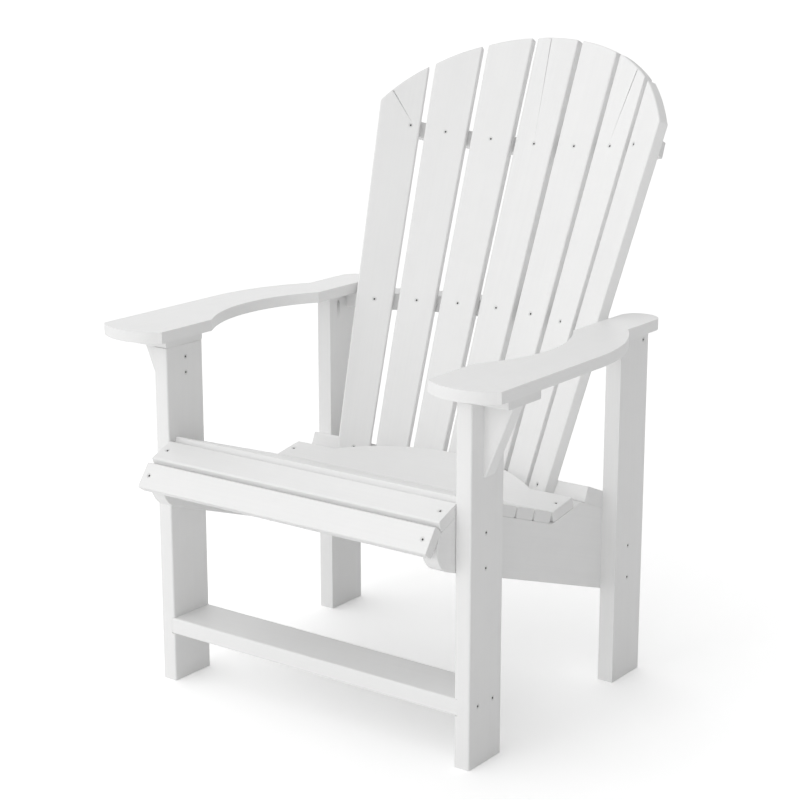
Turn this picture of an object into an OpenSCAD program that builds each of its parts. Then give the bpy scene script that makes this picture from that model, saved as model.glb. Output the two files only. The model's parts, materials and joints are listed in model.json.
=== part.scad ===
// Adirondack garden chair in poly lumber boards, screwed together.
// Millimetres, +Z up, +Y to the rear, X = 0 on the centre plane.
// The origin is on the floor, under the middle of the whole chair.

/* [Frame] */
// Width over the outer faces of the legs
frame_w = 640; // [560:5:800]
// Thickness of the frame boards
board_t = 28.5; // [22:0.5:36]
// Width of a leg board, front to rear
leg_d = 89; // [70:1:110]
// From the front of the front legs to the front of the rear legs
leg_pitch = 437; // [420:1:540]
// Height of the front legs
front_leg_h = 588.5; // [560:0.5:700]
// Thickness of the slats, arms and cleats
slat_t = 19; // [15:0.5:24]

/* [Front stretcher] */
// Height of the stretcher's underside above the floor
stretcher_z = 86.5; // [50:0.5:200]
// Depth of the housings that take the stretcher's ends
housing_d = 6; // [3:0.5:12]

/* [Seat] */
// Slope of the seat down to the rear, in degrees
seat_slope = 19.2; // [15:0.1:24]
// Distance of the seat's crest behind the front of the legs
crest_y = 18; // [5:0.5:30]
// Height of the seat's crest
crest_z = 435.2; // [400:0.1:480]
// Width of a seat slat
seat_slat_w = 50.5; // [40:0.5:56]
// Gap between two seat slats
seat_gap = 5; // [3:0.5:9]
// Number of slats on the slope
slope_slats = 5; // [4:1:5]
// Rise of the front slat towards the crest, in degrees
front_rise = 22; // [15:0.5:30]
// Clearance between the front slat and the first slat behind it
front_slat_gap = 0.6; // [0.3:0.1:3]
// Distance of the front slat's top rear edge below the crest
front_slat_below = 4.7; // [3:0.1:9]
// Rise of the nosing slat, in degrees
nosing_rise = 54.4; // [45:0.1:65]
// Width of the nosing slat
nosing_w = 45.5; // [36:0.5:56]
// Rise of the last slat towards the rear, in degrees
last_rise = 9.5; // [5:0.5:14]
// Width of the last slat at its ends
last_end_w = 62.5; // [50:0.5:80]
// Depth of a seat rail under the sloping slats
rail_d = 96.5; // [85:0.1:120]
// Radius of the rounded nose of a seat rail
nose_r = 43; // [30:1:44]
// Gap between the last slat's rear edge and the back, on the centre line
last_back_gap = 38.3; // [15:0.1:45]
// Radius of the last slat's rear edge
last_edge_r = 343; // [300:1:420]

/* [Back] */
// Recline of the back from upright, in degrees
recline = 22.6; // [18:0.1:28]
// Distance of the back's face behind the rear legs' front, at the arms' undersides
back_behind = 110; // [90:0.5:125]
// Height of the crest over the place from which lengths along the back are measured
back_below = 65.2; // [50:0.1:80]
// Number of back slats
back_slats = 7; // [7:1:7]
// Angle between neighbouring back slats, seen along the back
slat_turn = 10.15; // [8:0.05:11]
// Spacing of the back slats where lengths along the back start
slat_pitch_low = 70; // [62:0.5:78]
// Spacing of the back slats at the upper rail
slat_pitch_high = 88.4; // [82:0.1:96]
// Length along the back to the upper rail
upper_rail_s = 555; // [480:1:600]
// Gap between two back slats
back_gap = 9.6; // [6:0.1:14]
// Length along the back to the top of the arch
arch_top_s = 754; // [680:1:800]
// Radius of the arch over the back
arch_r = 372; // [330:1:450]
// Length of the centre slat below the start of those lengths
slat_foot_s = 59.5; // [50:0.5:70]

/* [Rails behind the back] */
// Height of the square section of the upper rail
upper_rail_w = 28.5; // [22:0.5:40]
// Distance of the upper rail's ends inside the outer slats' outer edges
upper_rail_inset = 8; // [2:0.5:20]
// Distance of the arm rail's straight ends behind the rear legs' front
arm_rail_back = 48; // [30:1:54]
// Depth of the arm rail at its middle, from its straight ends to its rear edge
arm_rail_d = 125; // [115:1:139]
// Depth of the arm rail at its ends
arm_rail_end_d = 49.4; // [40:0.1:60]
// Width of the lower board
lower_board_w = 139.7; // [125:0.1:160]
// Distance of the lower board's straight ends ahead of the back's face
lower_board_ahead = 51; // [45:0.5:58]

/* [Arms] */
// Overhang of the arm over the inner face of the leg
arm_in = 26; // [18:0.5:34]
// Overhang of the arm over the outer face of the leg
arm_out = 76; // [65:0.5:95]
// Overhang of the arm ahead of the front leg, at the top of its curve
arm_front = 61; // [45:1:80]
// Radius of the arm's front edge
arm_front_r = 100; // [86:1:130]
// Length over which the outer edge curls in, ahead of the rear leg
curl_l = 197; // [170:1:220]
// Radius of that curl
curl_r = 330; // [300:1:380]
// Depth of the scoop in the inner edge
scoop_depth = 44; // [20:1:60]
// Radius of that scoop
scoop_r = 256; // [230:1:340]
// Distance of the scoop's middle ahead of the middle between the legs
scoop_ahead = 34.5; // [0:0.5:50]
// Length of the arm's tail ahead of the rear leg
tail_ahead = 9; // [6:1:30]
// Overhang of the arm's tail over the outer face of the rear leg
tail_out = 14.5; // [8:0.5:30]
// Length of the tail behind the rear leg
tail_l = 31.5; // [20:0.5:60]
// Radius of the tail's corners
tail_r = 33; // [10:1:34]
// Clearance between an arm and the outer back slat beside it
arm_slat_gap = 1.5; // [0.5:0.1:1.5]
// Width of the cleat between the front leg and the arm
cleat_w = 92.5; // [80:0.5:105]
// Width of the bracket at its top
bracket_w = 54; // [40:1:60]
// Height of the bracket
bracket_h = 120; // [80:1:160]
// Distance of the bracket behind the front of the leg
bracket_y = 32.5; // [10:0.5:50]
// Width of the bracket at its tip
bracket_tip = 3; // [2:0.5:10]

/* [Screws] */
// Diameter of a screw's head
head_d = 9; // [7:0.5:11]
// Diameter of a screw's shank
shank_d = 4.6; // [3.5:0.1:5.5]
// Length of a frame screw
long_screw = 50; // [40:1:50]
// Length of a slat screw
short_screw = 38; // [30:1:42]
// Length of the screws that come up into the arms through the cleats
arm_screw = 33; // [25:1:36]
// Length of the pocket screws under their heads
pocket_screw = 25; // [20:1:28]
// Radial play between a screw and its bore
screw_play = 0.15; // [0.05:0.05:0.4]
// Width across the flats of the square drive recess
drive_w = 3.2; // [2:0.1:3.4]
// Depth of the drive recess
drive_h = 1.8; // [1:0.1:2]
// Depth of a head's face below the board
head_sink = 0.5; // [0:0.1:1.5]
// Spacing of the two screws that hold a rail to a leg
rail_screw_pitch = 57; // [40:1:64]
// Distance of those screws behind the front of their leg
rail_screw_y = 42; // [25:1:60]
// Distance of the outer slats' upper screws inside the slat's middle
outer_screw_in = 22; // [10:1:28]
// Slope of the pocket screws from upright, in degrees
pocket_slope = 15; // [12:1:20]

/* [Hidden] */
lumber = "whitesmoke";
steel = "gray";
right = 1;
left = -1;
arc_fn = 180;
hole_fn = 32;
// Reach of a cutting shape past the piece that it cuts
past = 1;
// Size of a cutting block larger than the chair
far = 3000;

leg_in = frame_w / 2 - board_t;
leg_out = frame_w / 2;
leg_mid_x = leg_in + board_t / 2;
rail_mid_x = leg_in - board_t / 2;
arm_under = front_leg_h + slat_t;

// Points of the side profile are [y, z]; an angle is the rise towards the rear.
function along(p, a, d) = p + d * [cos(a), sin(a)];
function under(p, a, d) = p + d * [sin(a), -cos(a)];
// Where the line through p with rise a meets the line through q with rise b
function meet(p, a, q, b) =
    along(p, a, ((q[0] - p[0]) * sin(b) - (q[1] - p[1]) * cos(b)) / sin(b - a));

// The slats' upper front corners
seat_pitch = seat_slat_w + seat_gap;
crest = [crest_y, crest_z];
function slope_slat_p(i) = along(crest, -seat_slope, i * seat_pitch);
last_p = slope_slat_p(slope_slats);
front_slat_ahead = slat_t * (sin(seat_slope) + sin(front_rise)) + front_slat_gap;
front_slat_p = along(crest - [front_slat_ahead, front_slat_below], front_rise, -seat_slat_w);
nosing_lap = 2;
nosing_back_top = under(front_slat_p, front_rise, slat_t - nosing_lap);
nosing_p = along(under(nosing_back_top, nosing_rise, -slat_t), nosing_rise, -nosing_w);

// The back has its own axes: s runs up along the back, n forward out of its face.
back_z = crest_z - back_below;
back_y = leg_pitch + back_behind - (arm_under - back_z) * tan(recline);
grow = (slat_pitch_high - slat_pitch_low) / upper_rail_s;
turn_rad = slat_turn * PI / 180;
r_low = slat_pitch_low / turn_rad;
r_grow = grow / turn_rad;
middle_slat = (back_slats - 1) / 2;
function pitch_at(s) = slat_pitch_low + grow * s;
function back_r(s) = r_low + r_grow * s;
function slat_yaw(i) = (i - middle_slat) * slat_turn;
function slat_lean(i) = atan(r_grow * (1 - cos(slat_yaw(i))));
function slat_drift(i, s) = r_grow * sin(slat_yaw(i)) * s;
function slat_half(s) = (pitch_at(s) - back_gap) / 2;
// The corners of slat i before its top is arched, each edge moved out by more
function slat_corners(i, more) = [
    for (end = [[lower_board_s, -1], [lower_board_s, 1], [arch_top_s, 1], [arch_top_s, -1]])
        [slat_drift(i, end[0]) + end[1] * (slat_half(end[0]) + more), end[0]]
];
function back_p(s, n) =
    [back_y + s * sin(recline) - n * cos(recline), back_z + s * cos(recline) + n * sin(recline)];
// Place along slat i at which its face is at height z
function slat_s_at(i, z) =
    (z - back_z - r_low * (1 - cos(slat_yaw(i))) * sin(recline))
    / (cos(recline) + r_grow * (1 - cos(slat_yaw(i))) * sin(recline));

// Distance from the centre plane to the outer slats' outer edges
function fan_half(s) =
    back_r(s) * sin(slat_yaw(back_slats - 1)) + slat_half(s) * cos(slat_yaw(back_slats - 1));

last_mid_w = norm(meet(last_p, last_rise, back_p(0, 0), 90 - recline) - last_p) - last_back_gap;

// The lower board lies on the rails, and its underside is level with the slats' feet.
lower_board_s = -slat_foot_s;
lower_screw_s = lower_board_s + board_t / 2;

// The seat rails' side profile
rail_rear_clear = 6;
rail_rear_y = leg_pitch + leg_d - rail_rear_clear;
front_under = under(front_slat_p, front_rise, slat_t);
slope_under = under(crest, -seat_slope, slat_t);
last_under = under(last_p, last_rise, slat_t);
foot_p = back_p(lower_board_s, 0);
rail_peak = meet(last_under, last_rise, foot_p, -recline);
rail_low = under(slope_under, -seat_slope, rail_d);
nose_corner = meet(nosing_back_top, nosing_rise, rail_low, -seat_slope);
nose_run = nose_r / tan((nosing_rise + seat_slope) / 2);
nose_c = under(along(nose_corner, nosing_rise, nose_run), nosing_rise, nose_r);
nose_steps = 24;
function rail_bottom_z(y) = rail_low[1] - (y - rail_low[0]) * tan(seat_slope);
function rail_top_z(y) = foot_p[1] - (y - foot_p[0]) * tan(recline);

// The rails behind the back
upper_rail_half = fan_half(upper_rail_s) - upper_rail_inset;
arm_rail_y = leg_pitch + arm_rail_back;
arm_rail_rise = arm_rail_d - arm_rail_end_d;
arm_rail_r = (pow(leg_in, 2) + pow(arm_rail_rise, 2)) / (2 * arm_rail_rise);

// The arms' outline
curl_y = leg_pitch - curl_l;
scoop_y = (leg_d + leg_pitch) / 2 - scoop_ahead;
tail_y = leg_pitch - tail_ahead;
arm_in_x = leg_in - arm_in;
arm_out_x = leg_out + arm_out;
tail_x = leg_out + tail_out;
tail_rear_y = leg_pitch + leg_d + tail_l;
// The corners never take more than the tail's width.
tail_corner_r = min(tail_r, (tail_x - arm_in_x) / 2 - past);

// The whole chair is shifted so that the origin is under its middle.
y_front = min(nosing_p[0], -arm_front);
y_rear = back_p(arch_top_s, -slat_t)[0];
y_mid = (y_front + y_rear) / 2;

// Screws
head_h = (head_d - shank_d) / 2;
tip_d = 1;
bore_r = shank_d / 2 + screw_play;
pan_head_h = 3;
pocket_d = head_d + 1;
pocket_floor = 11;
pocket_down = 33;
pocket_l = 60;
pocket_y = leg_pitch + 25;
screw_inset = 24;
front_screw_up = 17;
rear_screw_up = 29;
rail_screw_ys = [rail_screw_y, leg_pitch + rail_screw_y];
rail_screw_ups = [front_screw_up, rear_screw_up];
bracket_screw_downs = [21.5, 48.5];
arm_screw_out = 30;
arm_screw_inset = 14;
arm_rail_screw_y = arm_rail_y + arm_rail_end_d / 2;
lower_board_screw_ns = [30, -30];
middle_screw_up = 8.75;

// Placing

module in_place() translate([0, -y_mid, 0]) children();
module on_side(side) mirror([side < 0 ? 1 : 0, 0, 0]) children();
module on_both_sides() for (side = [left, right]) on_side(side) children();
// An outline in [y, z], made a board from x0 to x1
module profile(x0, x1) translate([x0, 0, 0]) rotate([90, 0, 90]) linear_extrude(x1 - x0) children();
module on_seat(p, rise) translate([0, p[0], p[1]]) rotate([rise, 0, 0]) children();
module on_back() translate([0, back_y, back_z]) rotate([-recline, 0, 0]) children();
module on_slat(i)
    on_back()
    translate([r_low * sin(slat_yaw(i)), -r_low * (1 - cos(slat_yaw(i))), 0])
    rotate([-slat_lean(i), 0, -slat_yaw(i)])
    children();

// Screws point down -Z from the face of their head at the origin.

module drive_recess() {
    translate([0, 0, -drive_h]) rotate(45) cylinder(h = drive_h + past, d = drive_w * sqrt(2), $fn = 4);
}

module screw(l) {
    difference() {
        rotate_extrude($fn = hole_fn) polygon([
            [0, 0], [head_d / 2, 0], [shank_d / 2, -head_h],
            [shank_d / 2, shank_d - l], [tip_d / 2, -l], [0, -l]
        ]);
        drive_recess();
    }
}

module bore(l) {
    rotate_extrude($fn = hole_fn) polygon([
        [0, head_sink + past], [head_d / 2, head_sink + past], [head_d / 2, 0],
        [bore_r, screw_play - head_h], [bore_r, -l - screw_play], [0, -l - screw_play]
    ]);
}

module pan_screw(l) {
    difference() {
        rotate_extrude($fn = hole_fn) polygon([
            [0, pan_head_h], [head_d / 2, pan_head_h], [head_d / 2, 0], [shank_d / 2, 0],
            [shank_d / 2, shank_d - l], [tip_d / 2, -l], [0, -l]
        ]);
        translate([0, 0, pan_head_h]) drive_recess();
    }
}

module pocket_bore(l) {
    rotate_extrude($fn = hole_fn) polygon([
        [0, pocket_l], [pocket_d / 2, pocket_l], [pocket_d / 2, 0],
        [bore_r, 0], [bore_r, -l - screw_play], [0, -l - screw_play]
    ]);
}

// Where the screws of the right-hand side go

module at_stretcher_screws() {
    for (y = [screw_inset, leg_d - screw_inset])
        translate([leg_out - head_sink, y, stretcher_z + board_t / 2]) rotate([0, 90, 0]) children();
}

module at_rail_screws() {
    for (end = [0, 1], up = [0, rail_screw_pitch])
        translate([
            leg_out - head_sink,
            rail_screw_ys[end],
            rail_bottom_z(rail_screw_ys[end]) + rail_screw_ups[end] + up
        ])
        rotate([0, 90, 0]) children();
}

module at_seat_screw(w) translate([rail_mid_x, w / 2, -head_sink]) children();

module at_lower_board_screws() {
    on_back() for (n = lower_board_screw_ns)
        translate([rail_mid_x, -n, lower_board_s + board_t - head_sink]) children();
}

module at_arm_rail_screw() {
    translate([leg_out - head_sink, arm_rail_screw_y, arm_under - board_t / 2])
    rotate([0, 90, 0]) children();
}

module at_cleat_screws() {
    for (y = [screw_inset, leg_d - screw_inset])
        translate([leg_mid_x, y, arm_under - head_sink]) children();
}

module at_bracket_screws() {
    for (down = bracket_screw_downs)
        translate([leg_in + head_sink, bracket_y + board_t / 2, front_leg_h - down])
        rotate([0, -90, 0]) children();
}

module at_arm_screws() {
    for (y = [arm_screw_inset, leg_d - arm_screw_inset])
        translate([leg_out + arm_screw_out, y, front_leg_h + head_sink]) rotate([180, 0, 0]) children();
}

module at_pocket_screw() {
    translate([leg_in, pocket_y, arm_under - pocket_down])
    rotate([0, pocket_slope, 0])
    translate([0, 0, pocket_down / cos(pocket_slope) - pocket_floor])
    rotate([180, 0, 0]) children();
}

// Where the screws of a back slat go

module at_slat_screw(i, s, t = 0) {
    on_slat(i) translate([slat_drift(i, s) + t, head_sink, s]) rotate([90, 0, 0]) children();
}
module at_low_screw(i) at_slat_screw(i, lower_screw_s) children();
module at_middle_screw(i) {
    at_slat_screw(i, slat_s_at(i, arm_under - board_t / 2 + middle_screw_up)) children();
}
module at_high_screw(i) {
    inward = i == 0 ? outer_screw_in : i == back_slats - 1 ? -outer_screw_in : 0;
    at_slat_screw(i, upper_rail_s, inward) children();
}

// Legs and stretcher

module front_leg(side) {
    color(lumber) in_place() on_side(side) difference() {
        translate([leg_in, 0, 0]) cube([board_t, leg_d, front_leg_h]);
        translate([leg_in - past, -past, stretcher_z])
            cube([housing_d + past, leg_d + 2 * past, board_t]);
        at_stretcher_screws() bore(long_screw);
        at_rail_screws() bore(long_screw);
        at_bracket_screws() bore(long_screw);
        at_cleat_screws() bore(long_screw);
    }
}

module rear_leg(side) {
    color(lumber) in_place() on_side(side) difference() {
        translate([leg_in, leg_pitch, 0]) cube([board_t, leg_d, arm_under]);
        at_rail_screws() bore(long_screw);
        at_arm_rail_screw() bore(long_screw);
        at_pocket_screw() pocket_bore(pocket_screw);
    }
}

module front_stretcher() {
    half = leg_in + housing_d;
    color(lumber) in_place() difference() {
        translate([-half, 0, stretcher_z]) cube([2 * half, leg_d, board_t]);
        on_both_sides() at_stretcher_screws() bore(long_screw);
    }
}

// Seat

// The nose is an arc from the rail's lower edge, round its front, to the back of the nosing slat.
module rail_outline() {
    from = 270 - seat_slope;
    to = 90 + nosing_rise;
    nose = [for (k = [0:nose_steps]) from + (to - from) * k / nose_steps];
    polygon([
        meet(nosing_back_top, nosing_rise, front_under, front_rise),
        along(front_under, front_rise, seat_slat_w),
        slope_under,
        meet(slope_under, -seat_slope, last_under, last_rise),
        rail_peak,
        [rail_rear_y, rail_top_z(rail_rear_y)],
        [rail_rear_y, rail_bottom_z(rail_rear_y)],
        each [for (a = nose) nose_c + nose_r * [cos(a), sin(a)]]
    ]);
}

module seat_rail(side) {
    color(lumber) in_place() on_side(side) difference() {
        profile(leg_in - board_t, leg_in) rail_outline();
        at_rail_screws() bore(long_screw);
        at_lower_board_screws() bore(long_screw);
        on_seat(nosing_p, nosing_rise) at_seat_screw(nosing_w) bore(short_screw);
        on_seat(front_slat_p, front_rise) at_seat_screw(seat_slat_w) bore(short_screw);
        for (i = [0:slope_slats - 1])
            on_seat(slope_slat_p(i), -seat_slope) at_seat_screw(seat_slat_w) bore(short_screw);
        on_seat(last_p, last_rise) at_seat_screw(last_end_w) bore(short_screw);
    }
}

module straight_slat(p, rise, w) {
    color(lumber) in_place() on_seat(p, rise) difference() {
        translate([-leg_in, 0, -slat_t]) cube([2 * leg_in, w, slat_t]);
        on_both_sides() at_seat_screw(w) bore(short_screw);
    }
}

module nosing_slat() straight_slat(nosing_p, nosing_rise, nosing_w);
module front_slat() straight_slat(front_slat_p, front_rise, seat_slat_w);
module seat_slat(i) straight_slat(slope_slat_p(i - 1), -seat_slope, seat_slat_w);

// The last slat is wider in the middle, where its rear edge follows the curve of the back.
module last_slat_outline() {
    translate([-leg_in, 0]) square([2 * leg_in, last_end_w]);
    intersection() {
        translate([0, last_mid_w - last_edge_r]) circle(last_edge_r, $fn = arc_fn);
        translate([-leg_in, 0]) square([2 * leg_in, last_mid_w + past]);
    }
}

module last_seat_slat() {
    color(lumber) in_place() on_seat(last_p, last_rise) difference() {
        translate([0, 0, -slat_t]) linear_extrude(slat_t) last_slat_outline();
        on_both_sides() at_seat_screw(last_end_w) bore(short_screw);
    }
}

// Back

module slat_outline(i) {
    arch_s = arch_top_s - arch_r;
    arch_t = slat_drift(i, arch_s) - (i - middle_slat) * pitch_at(arch_s);
    intersection() {
        polygon(slat_corners(i, 0));
        union() {
            translate([arch_t, arch_s]) circle(arch_r, $fn = arc_fn);
            translate([-far / 2, lower_board_s]) square([far, arch_s - lower_board_s]);
        }
    }
}

module back_slat(n) {
    i = n - 1;
    color(lumber) in_place() difference() {
        on_slat(i) translate([0, slat_t, 0]) rotate([90, 0, 0]) linear_extrude(slat_t) slat_outline(i);
        at_low_screw(i) bore(short_screw);
        at_middle_screw(i) bore(short_screw);
        at_high_screw(i) bore(short_screw);
    }
}

// The space that slat i fills, with a gap kept all round it
module slat_space(i, gap) {
    on_slat(i) translate([0, slat_t + gap, 0]) rotate([90, 0, 0]) linear_extrude(slat_t + 2 * gap)
        polygon(slat_corners(i, gap));
}

// The space ahead of every slat's rear face; what is cut by it gets one flat for each slat
module ahead_of_rails() {
    intersection_for (i = [0:back_slats - 1])
        on_slat(i) translate([-far / 2, slat_t - far, -far / 2]) cube(far);
}

module upper_back_rail() {
    axis_r = back_r(upper_rail_s);
    outer_r = axis_r + slat_t + upper_rail_w;
    color(lumber) in_place() difference() {
        on_back() translate([0, 0, upper_rail_s - upper_rail_w / 2]) linear_extrude(upper_rail_w)
            intersection() {
                translate([0, -axis_r]) circle(outer_r, $fn = arc_fn);
                translate([-upper_rail_half, -axis_r / 2]) square([2 * upper_rail_half, axis_r]);
            }
        ahead_of_rails();
        for (i = [0:back_slats - 1]) at_high_screw(i) bore(short_screw);
    }
}

module arm_rail() {
    color(lumber) in_place() difference() {
        translate([0, arm_rail_y, arm_under - board_t]) linear_extrude(board_t) intersection() {
            translate([0, arm_rail_d - arm_rail_r]) circle(arm_rail_r, $fn = arc_fn);
            translate([-leg_in, 0]) square([2 * leg_in, arm_rail_d + past]);
        }
        ahead_of_rails();
        for (i = [0:back_slats - 1]) at_middle_screw(i) bore(short_screw);
        on_both_sides() at_arm_rail_screw() bore(long_screw);
    }
}

module lower_back_board() {
    color(lumber) in_place() difference() {
        on_back() translate([-leg_in, -lower_board_ahead, lower_board_s])
            cube([2 * leg_in, lower_board_w, board_t]);
        ahead_of_rails();
        for (i = [0:back_slats - 1]) at_low_screw(i) bore(short_screw);
        on_both_sides() at_lower_board_screws() bore(long_screw);
    }
}

// Arms

module arm_outline() {
    front_c = [(arm_in_x + arm_out_x) / 2, arm_front_r - arm_front];
    difference() {
        intersection() {
            translate([arm_in_x, -arm_front]) square([arm_out_x - arm_in_x, arm_front + tail_y]);
            union() {
                translate(front_c) circle(arm_front_r, $fn = arc_fn);
                translate([arm_in_x, front_c[1]]) square([arm_out_x - arm_in_x, curl_y - front_c[1]]);
                intersection() {
                    translate([arm_out_x - curl_r, curl_y]) circle(curl_r, $fn = arc_fn);
                    translate([arm_in_x, curl_y - past])
                        square([arm_out_x - arm_in_x, tail_y - curl_y + past]);
                }
            }
        }
        translate([arm_in_x + scoop_depth - scoop_r, scoop_y]) circle(scoop_r, $fn = arc_fn);
    }
    tail_outline();
}

module tail_outline() {
    difference() {
        translate([arm_in_x, tail_y - past]) square([tail_x - arm_in_x, tail_rear_y - tail_y + past]);
        translate([arm_in_x, tail_rear_y]) corner_cut(1);
        translate([tail_x, tail_rear_y]) corner_cut(-1);
    }
}

// What rounds a rear corner of the tail; in_x is 1 where the tail is towards +X
module corner_cut(in_x) {
    difference() {
        translate([in_x > 0 ? -past : -tail_corner_r, -tail_corner_r]) square(tail_corner_r + past);
        translate([in_x * tail_corner_r, -tail_corner_r]) circle(tail_corner_r, $fn = arc_fn);
    }
}

module arm(side) {
    color(lumber) in_place() on_side(side) difference() {
        translate([0, 0, arm_under]) linear_extrude(slat_t) arm_outline();
        slat_space(back_slats - 1, arm_slat_gap);
        at_arm_screws() bore(arm_screw);
        at_pocket_screw() pocket_bore(pocket_screw);
    }
}

module arm_cleat(side) {
    color(lumber) in_place() on_side(side) difference() {
        translate([leg_in, 0, front_leg_h]) cube([cleat_w, leg_d, slat_t]);
        at_cleat_screws() bore(long_screw);
        at_arm_screws() bore(arm_screw);
    }
}

module arm_bracket(side) {
    color(lumber) in_place() on_side(side) difference() {
        translate([0, bracket_y + board_t, 0]) rotate([90, 0, 0]) linear_extrude(board_t) polygon([
            [leg_out, front_leg_h],
            [leg_out, front_leg_h - bracket_h],
            [leg_out + bracket_tip, front_leg_h - bracket_h],
            [leg_out + bracket_w, front_leg_h]
        ]);
        at_bracket_screws() bore(long_screw);
    }
}

// Groups of screws

module both_sides_steel() color(steel) in_place() on_both_sides() children();

module seat_screws() {
    both_sides_steel() {
        on_seat(nosing_p, nosing_rise) at_seat_screw(nosing_w) screw(short_screw);
        on_seat(front_slat_p, front_rise) at_seat_screw(seat_slat_w) screw(short_screw);
        for (i = [0:slope_slats - 1])
            on_seat(slope_slat_p(i), -seat_slope) at_seat_screw(seat_slat_w) screw(short_screw);
        on_seat(last_p, last_rise) at_seat_screw(last_end_w) screw(short_screw);
    }
}

module back_screws_low() {
    color(steel) in_place() for (i = [0:back_slats - 1]) at_low_screw(i) screw(short_screw);
}

module back_screws_middle() {
    color(steel) in_place() for (i = [0:back_slats - 1]) at_middle_screw(i) screw(short_screw);
}

module back_screws_high() {
    color(steel) in_place() for (i = [0:back_slats - 1]) at_high_screw(i) screw(short_screw);
}

module stretcher_screws() both_sides_steel() at_stretcher_screws() screw(long_screw);
module rail_screws() both_sides_steel() at_rail_screws() screw(long_screw);
module lower_board_screws() both_sides_steel() at_lower_board_screws() screw(long_screw);
module arm_rail_screws() both_sides_steel() at_arm_rail_screw() screw(long_screw);
module cleat_screws() both_sides_steel() at_cleat_screws() screw(long_screw);
module bracket_screws() both_sides_steel() at_bracket_screws() screw(long_screw);
module arm_screws() both_sides_steel() at_arm_screws() screw(arm_screw);
module pocket_screws() both_sides_steel() at_pocket_screw() pan_screw(pocket_screw);

front_leg(left);  // front_leg_left
front_leg(right);  // front_leg_right
rear_leg(left);  // rear_leg_left
rear_leg(right);  // rear_leg_right
front_stretcher();
seat_rail(left);  // seat_rail_left
seat_rail(right);  // seat_rail_right
nosing_slat();
front_slat();
for (i = [1:slope_slats]) seat_slat(i);
last_seat_slat();
lower_back_board();
arm_rail();
upper_back_rail();
for (i = [1:back_slats]) back_slat(i);
arm_cleat(left);  // arm_cleat_left
arm_cleat(right);  // arm_cleat_right
arm_bracket(left);  // arm_bracket_left
arm_bracket(right);  // arm_bracket_right
arm(left);  // arm_left
arm(right);  // arm_right
stretcher_screws();
rail_screws();
seat_screws();
lower_board_screws();
arm_rail_screws();
back_screws_low();
back_screws_middle();
back_screws_high();
cleat_screws();
bracket_screws();
arm_screws();
pocket_screws();
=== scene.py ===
"""An adirondack garden chair of white plastic lumber, dressed round its CAD frame.

Every board is taken from its CAD node, gets the eased edges of real extruded lumber, and carries
coordinates along its own grain, so that one material suits every board.
"""

import json
import math

import bmesh
import bpy
from mathutils import Matrix, Vector


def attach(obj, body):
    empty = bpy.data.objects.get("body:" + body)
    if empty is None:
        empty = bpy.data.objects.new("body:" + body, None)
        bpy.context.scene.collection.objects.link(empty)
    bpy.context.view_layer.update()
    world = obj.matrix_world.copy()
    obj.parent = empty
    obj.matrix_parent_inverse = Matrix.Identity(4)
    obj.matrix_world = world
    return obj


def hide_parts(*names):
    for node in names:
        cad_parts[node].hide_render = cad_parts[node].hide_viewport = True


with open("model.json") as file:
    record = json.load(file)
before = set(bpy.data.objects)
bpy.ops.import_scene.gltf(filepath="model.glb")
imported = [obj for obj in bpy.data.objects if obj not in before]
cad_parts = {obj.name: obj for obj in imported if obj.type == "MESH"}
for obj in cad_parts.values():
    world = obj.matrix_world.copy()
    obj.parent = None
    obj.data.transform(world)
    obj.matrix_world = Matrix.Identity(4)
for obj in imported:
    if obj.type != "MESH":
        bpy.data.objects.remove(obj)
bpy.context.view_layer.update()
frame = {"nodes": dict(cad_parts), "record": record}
nodes = frame["nodes"]

MM = 0.001

# Boards
EASE = 3.0 * MM            # radius of the edges along an extruded board
ARM_EASE = 3.2 * MM        # radius routed round the arms, where hands rest
FRAME_EASE = 1.2 * MM      # radius along the sawn rails
SAWN_EASE = 0.5 * MM       # radius where a saw cut is only scraped
EASE_STEPS = 4             # segments round an eased edge
SAWN_STEPS = 2             # segments round a scraped edge
WELD = 0.01 * MM           # corners closer than this are one corner
FLAT = math.radians(0.4)   # faces closer than this lie in one plane
SHARP = math.radians(30)   # edges sharper than this are eased
RIM = 1.6 * MM             # shorter edges belong to a bore's rim
SMOOTH = math.radians(24)  # faces closer than this shade as one surface
ALONG = 0.95               # cosine within which a direction counts as along the grain
BROAD = 0.2                # cosine under which a face counts as one of the board's sides
CUT_ACROSS = 0.8           # cosine past which a face counts as cut across the grain
LONG_SHARE = 0.35          # an edge longer than this share of the board shows its direction
GRAIN_STEP = (1.7, 0.31, 0.13)  # how far each board's grain is moved on from the last board's

# Finishes
WHITE = (0.835, 0.835, 0.832)
SCREW_COAT = (0.74, 0.74, 0.735)
# near-black of the screw drive recesses: painted shade in the hollow, not a colour of the steel
RECESS_SHADE_TONE = (0.06, 0.06, 0.06)
FLOOR_WHITE = (0.97, 0.97, 0.97)
PLASTIC_IOR = 1.5
GRAIN_DEPTH = 0.06 * MM    # height of the lines along an extruded face
CUTTER_DEPTH = 0.09 * MM   # height of the ripple across a cut face
COAT_DEPTH = 0.02 * MM     # height of the texture of a screw's coating
EASED_POLISH = -0.06       # change in roughness on an eased edge
DUST_DULLS = 0.04          # change in roughness under dust
STREAK_GAIN = 4.0          # how strongly the grain's lines show in the tone

# Studio light
DOME_BRIGHT = 1.07
DOME_DIM = 0.26
FLAG_SIDE = (0.90, 0.44, 0.0)   # towards the black flag
FLAG_FROM = 0.0
FLAG_TO = 0.8
FLOOR_GAIN = 0.30               # how much whiter the floor looks than it lights
FLOOR_HALF = 30.0
KEY_PLACE = (-0.6, -4.8, 2.2)
KEY_TARGET = (0, 0, 0.5)
KEY_SIZE = 2.4
KEY_POWER = 26

# Camera
CAMERA_PLACE = (1.8982, -2.6687, 1.3265)
CAMERA_LENS = 88.7
CAMERA_DOWN = 14.571            # degrees below level
CAMERA_TURN = 36.2765           # degrees round from straight ahead
CAMERA_REACH = 200


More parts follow.
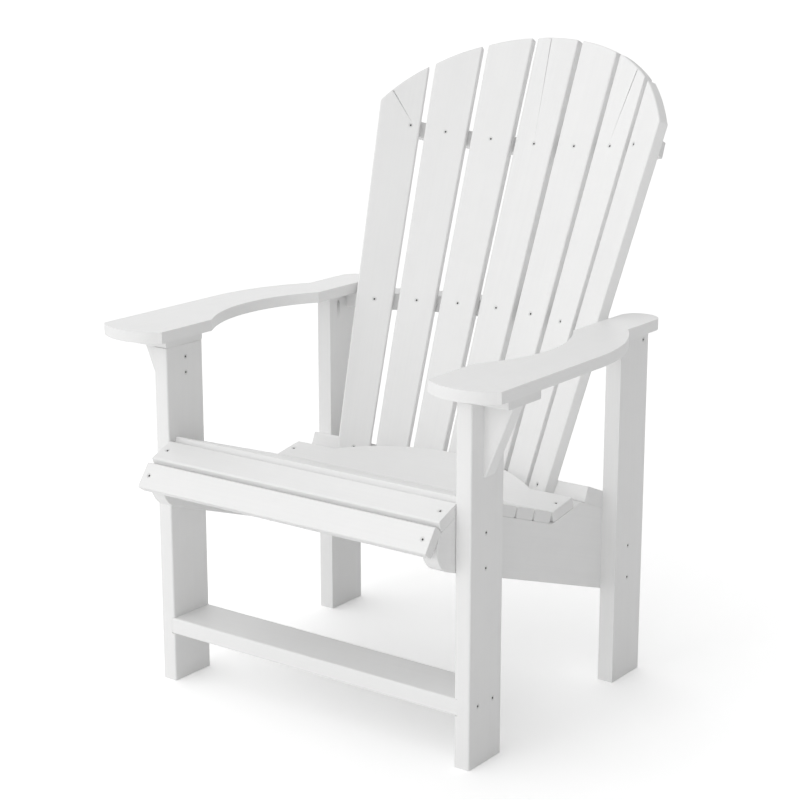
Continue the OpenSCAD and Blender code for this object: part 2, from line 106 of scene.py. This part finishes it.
# Shader groups

def new_group(name, inputs, outputs):
    """A shader group with its inputs and outputs, and the nodes that stand at its ends."""
    group = bpy.data.node_groups.new(name, "ShaderNodeTree")
    for kind, label, value in inputs:
        socket = group.interface.new_socket(label, in_out="INPUT", socket_type=kind)
        if value is not None:
            socket.default_value = value
    for kind, label in outputs:
        group.interface.new_socket(label, in_out="OUTPUT", socket_type=kind)
    start = group.nodes.new("NodeGroupInput")
    end = group.nodes.new("NodeGroupOutput")
    return group, start, end


def stored(tree, name):
    """A node that reads a value stored on the mesh."""
    made = tree.nodes.new("ShaderNodeAttribute")
    made.attribute_name = name
    return made


def math_node(tree, operation, a, b=None):
    """A Math node; each operand is a number or an output socket."""
    made = tree.nodes.new("ShaderNodeMath")
    made.operation = operation
    for slot, operand in zip(made.inputs, (a, b)):
        if operand is None:
            continue
        if isinstance(operand, (int, float)):
            slot.default_value = operand
        else:
            tree.links.new(operand, slot)
    return made.outputs[0]


def blended(tree, a, share_a, b, share_b):
    """The sum of two values, each multiplied by its share."""
    part_a = math_node(tree, "MULTIPLY", a, share_a)
    part_b = math_node(tree, "MULTIPLY", b, share_b)
    return math_node(tree, "ADD", part_a, part_b)


def noise(tree, vector, scale, detail, roughness):
    """The value of a noise texture over vector, about 0 to 1."""
    made = tree.nodes.new("ShaderNodeTexNoise")
    made.inputs["Scale"].default_value = scale
    made.inputs["Detail"].default_value = detail
    made.inputs["Roughness"].default_value = roughness
    tree.links.new(vector, made.inputs["Vector"])
    return made.outputs["Fac"]


def stretched(tree, vector, scale):
    """vector with each axis multiplied by its part of scale."""
    made = tree.nodes.new("ShaderNodeVectorMath")
    made.operation = "MULTIPLY"
    made.inputs[1].default_value = scale
    tree.links.new(vector, made.inputs[0])
    return made.outputs[0]


def remapped(tree, value, low, high, from_low=0.3, from_high=0.7):
    """value, taken from one range of numbers to another and held inside it."""
    made = tree.nodes.new("ShaderNodeMapRange")
    made.inputs["From Min"].default_value = from_low
    made.inputs["From Max"].default_value = from_high
    made.inputs["To Min"].default_value = low
    made.inputs["To Max"].default_value = high
    tree.links.new(value, made.inputs["Value"])
    return made.outputs[0]


def tinted(tree, colour, factor_socket):
    """colour darkened or lightened by a factor that changes over the surface."""
    made = tree.nodes.new("ShaderNodeVectorMath")
    made.operation = "SCALE"
    if isinstance(colour, tuple):
        made.inputs[0].default_value = colour
    else:
        tree.links.new(colour, made.inputs[0])
    tree.links.new(factor_socket, made.inputs["Scale"])
    return made.outputs[0]


def grain_coordinates():
    """Coordinates along the board's own grain, moved on by the board's number so that no two match."""
    group, _, end = new_group("grain_coordinates", [], [("NodeSocketVector", "Vector")])
    group.links.new(stored(group, "grain").outputs["Vector"], end.inputs["Vector"])
    return group


def extruded_grain():
    """The faint lengthwise lines and cloudy pigment of extruded plastic lumber."""
    group, start, end = new_group(
        "extruded_grain",
        [("NodeSocketVector", "Vector", None), ("NodeSocketFloat", "Streak", 0.02)],
        [("NodeSocketFloat", "Tone"), ("NodeSocketFloat", "Height"), ("NodeSocketFloat", "Sheen")],
    )
    vector = start.outputs["Vector"]
    lines = noise(group, stretched(group, vector, (3.0, 260.0, 260.0)), 1.0, 5.0, 0.6)
    fine = noise(group, stretched(group, vector, (14.0, 1400.0, 1400.0)), 1.0, 3.0, 0.5)
    cloud = noise(group, stretched(group, vector, (4.0, 16.0, 16.0)), 1.0, 3.0, 0.5)
    speck = noise(group, vector, 900.0, 2.0, 0.5)
    mix = blended(group, lines, 0.5, cloud, 0.5)
    centred = math_node(group, "SUBTRACT", mix, 0.5)
    swing = math_node(group, "MULTIPLY", centred, start.outputs["Streak"])
    tone = math_node(group, "ADD", 1.0, math_node(group, "MULTIPLY", swing, STREAK_GAIN))
    group.links.new(tone, end.inputs["Tone"])
    height = blended(group, lines, 0.55, fine, 0.25)
    height = math_node(group, "ADD", height, math_node(group, "MULTIPLY", speck, 0.2))
    group.links.new(height, end.inputs["Height"])
    group.links.new(blended(group, cloud, 0.6, fine, 0.4), end.inputs["Sheen"])
    return group


def cutter_marks():
    """The close ripple that a saw or router leaves across a cut face."""
    group, start, end = new_group(
        "cutter_marks",
        [("NodeSocketVector", "Vector", None)],
        [("NodeSocketFloat", "Tone"), ("NodeSocketFloat", "Height")],
    )
    vector = start.outputs["Vector"]
    ripple = noise(group, stretched(group, vector, (60.0, 700.0, 60.0)), 1.0, 3.0, 0.6)
    pits = noise(group, vector, 1500.0, 2.0, 0.6)
    group.links.new(remapped(group, pits, 0.965, 1.0), end.inputs["Tone"])
    group.links.new(blended(group, ripple, 0.6, pits, 0.4), end.inputs["Height"])
    return group


def handling_dust():
    """A thin uneven film of dust and handling over any surface."""
    group, start, end = new_group(
        "handling_dust",
        [("NodeSocketVector", "Vector", None), ("NodeSocketFloat", "Amount", 0.02)],
        [("NodeSocketFloat", "Tone"), ("NodeSocketFloat", "Mask")],
    )
    film = noise(group, start.outputs["Vector"], 26.0, 6.0, 0.65)
    mask = remapped(group, film, 0.0, 1.0, 0.45, 0.75)
    loss = math_node(group, "MULTIPLY", mask, start.outputs["Amount"])
    group.links.new(math_node(group, "SUBTRACT", 1.0, loss), end.inputs["Tone"])
    group.links.new(mask, end.inputs["Mask"])
    return group


GROUPS = {
    "place": grain_coordinates(),
    "grain": extruded_grain(),
    "marks": cutter_marks(),
    "dust": handling_dust(),
}


# Materials

def new_material(name):
    """A material, its node tree and its shader."""
    material = bpy.data.materials.new(name)
    material.use_nodes = True
    tree = material.node_tree
    return material, tree, tree.nodes["Principled BSDF"]


def use_group(tree, key, vector=None, **values):
    """One of the shader groups, placed in a material with its values set."""
    made = tree.nodes.new("ShaderNodeGroup")
    made.node_tree = GROUPS[key]
    if vector is not None:
        tree.links.new(vector, made.inputs["Vector"])
    for label, value in values.items():
        made.inputs[label].default_value = value
    return made


def bump(tree, height, distance):
    """A normal that follows height, over a real distance."""
    made = tree.nodes.new("ShaderNodeBump")
    made.inputs["Distance"].default_value = distance
    made.inputs["Strength"].default_value = 1.0
    tree.links.new(height, made.inputs["Height"])
    return made.outputs["Normal"]


def lumber_material():
    """The moulded skin of white plastic lumber: satin, with faint lengthwise lines."""
    material, tree, shader = new_material("white_lumber")
    place = use_group(tree, "place").outputs["Vector"]
    grain = use_group(tree, "grain", place, Streak=0.022)
    dust = use_group(tree, "dust", place, Amount=0.012)
    eased = stored(tree, "eased").outputs["Fac"]
    tone = math_node(tree, "MULTIPLY", grain.outputs["Tone"], dust.outputs["Tone"])
    tree.links.new(tinted(tree, WHITE, tone), shader.inputs["Base Color"])
    rough = remapped(tree, grain.outputs["Sheen"], 0.40, 0.52)
    worn = math_node(tree, "MULTIPLY", eased, EASED_POLISH)
    dusty = math_node(tree, "MULTIPLY", dust.outputs["Mask"], DUST_DULLS)
    rough = math_node(tree, "ADD", math_node(tree, "ADD", rough, worn), dusty)
    tree.links.new(rough, shader.inputs["Roughness"])
    tree.links.new(bump(tree, grain.outputs["Height"], GRAIN_DEPTH), shader.inputs["Normal"])
    shader.inputs["IOR"].default_value = PLASTIC_IOR
    return material


def cut_lumber_material():
    """The sawn or routed faces of the same lumber: a little duller, with cutter marks."""
    material, tree, shader = new_material("white_lumber_cut")
    place = use_group(tree, "place").outputs["Vector"]
    marks = use_group(tree, "marks", place)
    dust = use_group(tree, "dust", place, Amount=0.02)
    tone = math_node(tree, "MULTIPLY", marks.outputs["Tone"], dust.outputs["Tone"])
    tree.links.new(tinted(tree, WHITE, tone), shader.inputs["Base Color"])
    rough = remapped(tree, marks.outputs["Height"], 0.52, 0.64)
    tree.links.new(rough, shader.inputs["Roughness"])
    tree.links.new(bump(tree, marks.outputs["Height"], CUTTER_DEPTH), shader.inputs["Normal"])
    shader.inputs["IOR"].default_value = PLASTIC_IOR
    return material


def screw_material():
    """The pale coated steel of the screw heads."""
    material, tree, shader = new_material("coated_screw")
    place = use_group(tree, "place").outputs["Vector"]
    dust = use_group(tree, "dust", place, Amount=0.10)
    tree.links.new(tinted(tree, SCREW_COAT, dust.outputs["Tone"]), shader.inputs["Base Color"])
    fine = noise(tree, place, 2600.0, 2.0, 0.5)
    tree.links.new(remapped(tree, fine, 0.30, 0.42), shader.inputs["Roughness"])
    tree.links.new(bump(tree, fine, COAT_DEPTH), shader.inputs["Normal"])
    shader.inputs["Metallic"].default_value = 0.25
    return material


def recess_material():
    """The drive recess of a screw, painted near-black as painted shade down in the hollow."""
    material, tree, shader = new_material("recess_painted_shade")
    place = use_group(tree, "place").outputs["Vector"]
    dust = use_group(tree, "dust", place, Amount=0.5)
    # painted shade: the recess colour is near-black to stand in for the shade down in the hollow
    tree.links.new(tinted(tree, RECESS_SHADE_TONE, dust.outputs["Tone"]), shader.inputs["Base Color"])
    fine = noise(tree, place, 1800.0, 3.0, 0.6)
    tree.links.new(remapped(tree, fine, 0.45, 0.65), shader.inputs["Roughness"])
    shader.inputs["Metallic"].default_value = 0.7
    return material


def floor_material():
    """A pale, matt studio floor."""
    material, tree, shader = new_material("studio_floor")
    place = tree.nodes.new("ShaderNodeTexCoord").outputs["Object"]
    cloud = remapped(tree, noise(tree, place, 1.3, 3.0, 0.5), 0.995, 1.0)
    seen = tree.nodes.new("ShaderNodeLightPath").outputs["Is Camera Ray"]
    gain = math_node(tree, "ADD", 1.0, math_node(tree, "MULTIPLY", seen, FLOOR_GAIN))
    colour = tinted(tree, FLOOR_WHITE, math_node(tree, "MULTIPLY", cloud, gain))
    tree.links.new(colour, shader.inputs["Base Color"])
    shader.inputs["Roughness"].default_value = 0.9
    shader.inputs["Specular IOR Level"].default_value = 0.1
    return material


LUMBER = lumber_material()
CUT_LUMBER = cut_lumber_material()
SCREW = screw_material()
RECESS = recess_material()


# Pieces

# How far the outline of each shaped board is rounded; the other boards are plain lengths
ROUTED = {
    "arm_left": ARM_EASE,
    "arm_right": ARM_EASE,
    "last_seat_slat": EASE,
    "back_slat": EASE,
    "seat_rail": FRAME_EASE,
    "arm_rail": FRAME_EASE,
    "upper_back_rail": FRAME_EASE,
}


def cleaned(name):
    """The CAD node's mesh as a bmesh, with its corners welded and its flats made whole."""
    bm = bmesh.new()
    bm.from_mesh(nodes[name].data)
    bmesh.ops.remove_doubles(bm, verts=bm.verts, dist=WELD)
    bmesh.ops.dissolve_limit(bm, angle_limit=FLAT, verts=bm.verts, edges=bm.edges)
    return bm


def grain_direction(bm):
    """Along the board: its longest straight edge, or its longest side where no edge is long."""
    longest = max(bm.edges, key=lambda edge: edge.calc_length())
    low = Vector([min(vert.co[axis] for vert in bm.verts) for axis in range(3)])
    high = Vector([max(vert.co[axis] for vert in bm.verts) for axis in range(3)])
    size = high - low
    if longest.calc_length() > LONG_SHARE * size.length:
        return (longest.verts[1].co - longest.verts[0].co).normalized()
    return Vector([1.0 if axis == list(size).index(max(size)) else 0.0 for axis in range(3)])


def board_axes(bm, along):
    """A turn whose rows lie along, across and through the board."""
    broad = max(
        (face for face in bm.faces if abs(face.normal.dot(along)) < BROAD),
        key=lambda face: face.calc_area(),
    )
    through = broad.normal
    through = (through - along * through.dot(along)).normalized()
    across = through.cross(along)
    return Matrix((along, across, through))


def round_edges(bm, chosen, radius, steps):
    """Rounds the chosen edges and returns the new faces."""
    made = bmesh.ops.bevel(
        bm, geom=chosen, offset=radius, offset_type="OFFSET", segments=steps, profile=0.5,
        affect="EDGES", clamp_overlap=True, loop_slide=True,
    )
    return made["faces"]


def outer_corners(bm):
    """The sharp edges that stand out from the piece."""
    return [
        edge for edge in bm.edges
        if len(edge.link_faces) == 2 and edge.calc_face_angle(0.0) > SHARP and edge.is_convex
    ]


def mark_bores(bm):
    """Marks the corners round every bore's rim, whose edges are all short, and returns the mark."""
    mark = bm.verts.layers.int.new("bore")
    for edge in bm.edges:
        sharp = len(edge.link_faces) == 2 and edge.calc_face_angle(0.0) > SHARP
        if sharp and edge.calc_length() < RIM:
            for vert in edge.verts:
                vert[mark] = 1
    return mark


def ease_routed(bm, radius):
    """Rounds the whole outline of a board that is shaped all round."""
    mark = mark_bores(bm)
    chosen = [edge for edge in outer_corners(bm) if not all(vert[mark] for vert in edge.verts)]
    return round_edges(bm, chosen, radius, EASE_STEPS)


def ease_sawn(bm, along, radius):
    """Rounds the edges along an extruded board, then scrapes the edges of its two sawn ends."""
    mark = mark_bores(bm)
    lengthwise = [
        edge for edge in outer_corners(bm)
        if edge.calc_length() > RIM
        and abs((edge.verts[1].co - edge.verts[0].co).normalized().dot(along)) > ALONG
    ]
    eased = round_edges(bm, lengthwise, radius, EASE_STEPS)
    reach = [vert.co.dot(along) for vert in bm.verts]
    ends = (min(reach), max(reach))
    sawn = {
        face for face in bm.faces
        if abs(face.normal.dot(along)) > ALONG
        and min(abs(face.calc_center_median().dot(along) - end) for end in ends) < SAWN_EASE
    }
    rims = [
        edge for edge in outer_corners(bm)
        if any(face in sawn for face in edge.link_faces) and not all(vert[mark] for vert in edge.verts)
    ]
    round_edges(bm, rims, SAWN_EASE, SAWN_STEPS)
    return [face for face in eased if face.is_valid]


def shade_by_area(mesh):
    """Gives every corner a normal ruled by the largest face there, so flat faces shade flat."""
    around = [[] for vert in mesh.vertices]
    for face in mesh.polygons:
        for index in face.vertices:
            around[index].append(face)
    normals = []
    for face in mesh.polygons:
        for index in face.vertices:
            near = [other for other in around[index] if face.normal.dot(other.normal) > math.cos(SMOOTH)]
            total = sum((other.normal * other.area for other in near), Vector())
            normals.append(total.normalized() if total.length > 0.0 else face.normal)
    mesh.normals_split_custom_set(normals)


def write_piece(bm, name, turn, number, eased_faces, materials):
    """Turns bm into an object, with its grain coordinates and eased edges stored as attributes."""
    eased = set(eased_faces)
    middle = sum((vert.co for vert in bm.verts), Vector()) / len(bm.verts)
    shift = Vector([number * step for step in GRAIN_STEP])
    grain_layer = bm.verts.layers.float_vector.new("grain")
    eased_layer = bm.verts.layers.float.new("eased")
    for vert in bm.verts:
        vert[grain_layer] = turn @ (vert.co - middle) + shift
    for face in eased:
        for vert in face.verts:
            vert[eased_layer] = 1.0
    for face in bm.faces:
        face.smooth = True
    mesh = bpy.data.meshes.new(name)
    bm.to_mesh(mesh)
    bm.free()
    for material in materials:
        mesh.materials.append(material)
    mesh.set_sharp_from_angle(angle=SMOOTH)
    shade_by_area(mesh)
    piece = bpy.data.objects.new(name, mesh)
    bpy.context.scene.collection.objects.link(piece)
    return piece


def dress_board(name, number):
    """One board, with eased edges, its cut faces marked, and its own run of grain."""
    bm = cleaned(name)
    along = grain_direction(bm)
    turn = board_axes(bm, along)
    routed = [radius for start, radius in ROUTED.items() if name.startswith(start)]
    if routed:
        eased = ease_routed(bm, routed[0])
    else:
        eased = ease_sawn(bm, along, EASE)
    bm.normal_update()
    for face in bm.faces:
        if abs(face.normal.dot(along)) > CUT_ACROSS:
            face.material_index = 1
    piece = write_piece(bm, name + "_board", turn, number, eased, (LUMBER, CUT_LUMBER))
    keep = piece.modifiers.new("flat_faces", "WEIGHTED_NORMAL")
    keep.keep_sharp = True
    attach(piece, "root")
    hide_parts(name)


def dress_screws(name, number):
    """A group of screws, whose drive recesses are painted dark as painted shade; only a recess has inner
    corners.
    """
    bm = cleaned(name)
    for face in bm.faces:
        if any(not edge.is_convex and edge.calc_face_angle(0.0) > SHARP for edge in face.edges):
            face.material_index = 1
    piece = write_piece(bm, name + "_set", Matrix.Identity(3), number, [], (SCREW, RECESS))
    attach(piece, "root")
    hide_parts(name)


slots = {part["node"]: part["material_slot"] for part in frame["record"]["subparts"]}
for number, name in enumerate(sorted(nodes)):
    if slots[name] == "lumber":
        dress_board(name, number)
    else:
        dress_screws(name, number)


# Studio

def add_floor():
    """A wide floor for the chair to stand on; it isn't part of the chair."""
    mesh = bpy.data.meshes.new("floor")
    half = FLOOR_HALF
    corners = [(-half, -half, 0), (half, -half, 0), (half, half, 0), (-half, half, 0)]
    mesh.from_pydata(corners, [], [(0, 1, 2, 3)])
    mesh.materials.append(floor_material())
    floor = bpy.data.objects.new("floor", mesh)
    bpy.context.scene.collection.objects.link(floor)


def add_key():
    """A round soft light ahead of the chair and above it."""
    light = bpy.data.lights.new("key", "AREA")
    light.shape = "DISK"
    light.size = KEY_SIZE
    light.energy = KEY_POWER
    lamp = bpy.data.objects.new("key", light)
    lamp.location = KEY_PLACE
    aim = Vector(KEY_TARGET) - Vector(KEY_PLACE)
    lamp.rotation_euler = aim.to_track_quat("-Z", "Y").to_euler()
    bpy.context.scene.collection.objects.link(lamp)


def add_world():
    """A white dome of light, dimmed on one side as by a black flag, so that the side faces turn grey."""
    world = bpy.data.worlds.new("studio")
    bpy.context.scene.world = world
    world.use_nodes = True
    tree = world.node_tree
    way = tree.nodes.new("ShaderNodeTexCoord").outputs["Generated"]
    towards = tree.nodes.new("ShaderNodeVectorMath")
    towards.operation = "DOT_PRODUCT"
    towards.inputs[1].default_value = FLAG_SIDE
    tree.links.new(way, towards.inputs[0])
    light = remapped(tree, towards.outputs["Value"], DOME_BRIGHT, DOME_DIM, FLAG_FROM, FLAG_TO)
    sky = tree.nodes["Background"]
    sky.inputs["Color"].default_value = (1.0, 1.0, 1.0, 1.0)
    tree.links.new(light, sky.inputs["Strength"])


def add_camera():
    """The camera, ahead of the chair and to one side, looking a little down."""
    camera = bpy.data.cameras.new("camera")
    camera.lens = CAMERA_LENS
    camera.clip_end = CAMERA_REACH
    seen = bpy.data.objects.new("camera", camera)
    seen.location = CAMERA_PLACE
    seen.rotation_euler = (math.radians(90 - CAMERA_DOWN), 0, math.radians(CAMERA_TURN))
    bpy.context.scene.collection.objects.link(seen)
    bpy.context.scene.camera = seen


bpy.context.scene.view_settings.view_transform = "Standard"
add_floor()
add_world()
add_key()
add_camera()
